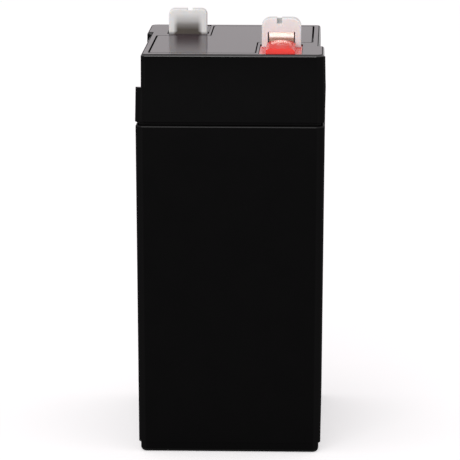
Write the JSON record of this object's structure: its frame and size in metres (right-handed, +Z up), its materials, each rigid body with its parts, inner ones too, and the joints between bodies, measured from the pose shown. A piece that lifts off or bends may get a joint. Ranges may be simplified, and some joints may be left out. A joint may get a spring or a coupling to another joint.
{
  "type": "sealed lead acid battery",
  "caption": "Small upright sealed lead acid battery: drafted black case, lid with a flush Z-shaped valve cover and diagonal blade terminals under slip-on covers.",
  "frame": {"origin": "centre of the base, on the surface that the battery stands on", "axes": "+Z up; +X across the narrow side towards the positive terminal; -Y towards the front end, where the positive terminal is"},
  "size_m": [0.047, 0.07, 0.1077],
  "materials": {
    "case_plastic": "moulded gloss",
    "cover_plastic": "translucent satin",
    "tinned_metal": "tinned",
    "red_resin": "cast gloss",
    "black_resin": "cast gloss",
    "valve_rubber": "matte",
    "lead": "cast",
    "positive_paste": "pasted",
    "negative_paste": "pasted",
    "glass_mat": "fibrous"
  },
  "bodies": {
    "battery": {"container": "case_plastic", "lid": "case_plastic", "valve_cover_plate": "case_plastic", "positive_terminal": "tinned_metal", "negative_terminal": "tinned_metal", "positive_terminal_seal": "red_resin", "negative_terminal_seal": "black_resin", "positive_post_ring": "valve_rubber", "negative_post_ring": "valve_rubber", "cell_1_valve_cap": "valve_rubber", "cell_1_positive_strap": "lead", "cell_1_negative_strap": "lead", "cell_1_positive_plate_1": "positive_paste", "cell_1_separator_1": "glass_mat", "cell_1_positive_plate_2": "positive_paste", "cell_1_separator_2": "glass_mat", "cell_1_positive_plate_3": "positive_paste", "cell_1_separator_3": "glass_mat", "cell_1_negative_plate_1": "negative_paste", "cell_1_negative_plate_2": "negative_paste", "cell_1_negative_plate_3": "negative_paste", "cell_1_negative_plate_4": "negative_paste", "cell_2_valve_cap": "valve_rubber", "cell_2_positive_strap": "lead", "cell_2_negative_strap": "lead", "cell_2_positive_plate_1": "positive_paste", "cell_2_separator_1": "glass_mat", "cell_2_positive_plate_2": "positive_paste", "cell_2_separator_2": "glass_mat", "cell_2_positive_plate_3": "positive_paste", "cell_2_separator_3": "glass_mat", "cell_2_negative_plate_1": "negative_paste", "cell_2_negative_plate_2": "negative_paste", "cell_2_negative_plate_3": "negative_paste", "cell_2_negative_plate_4": "negative_paste", "cell_3_valve_cap": "valve_rubber", "cell_3_positive_strap": "lead", "cell_3_negative_strap": "lead", "cell_3_positive_plate_1": "positive_paste", "cell_3_separator_1": "glass_mat", "cell_3_positive_plate_2": "positive_paste", "cell_3_separator_2": "glass_mat", "cell_3_positive_plate_3": "positive_paste", "cell_3_separator_3": "glass_mat", "cell_3_negative_plate_1": "negative_paste", "cell_3_negative_plate_2": "negative_paste", "cell_3_negative_plate_3": "negative_paste", "cell_3_negative_plate_4": "negative_paste"},
    "positive_cover": {"positive_terminal_cover": "cover_plastic"},
    "negative_cover": {"negative_terminal_cover": "cover_plastic"}
  },
  "joints": [
    {"name": "positive_cover_slide", "type": "slide", "parent": "battery", "child": "positive_cover", "axis": [0, 0, 1], "range_m": [0, 0.012]},
    {"name": "negative_cover_slide", "type": "slide", "parent": "battery", "child": "negative_cover", "axis": [0, 0, 1], "range_m": [0, 0.012]}
  ]
}
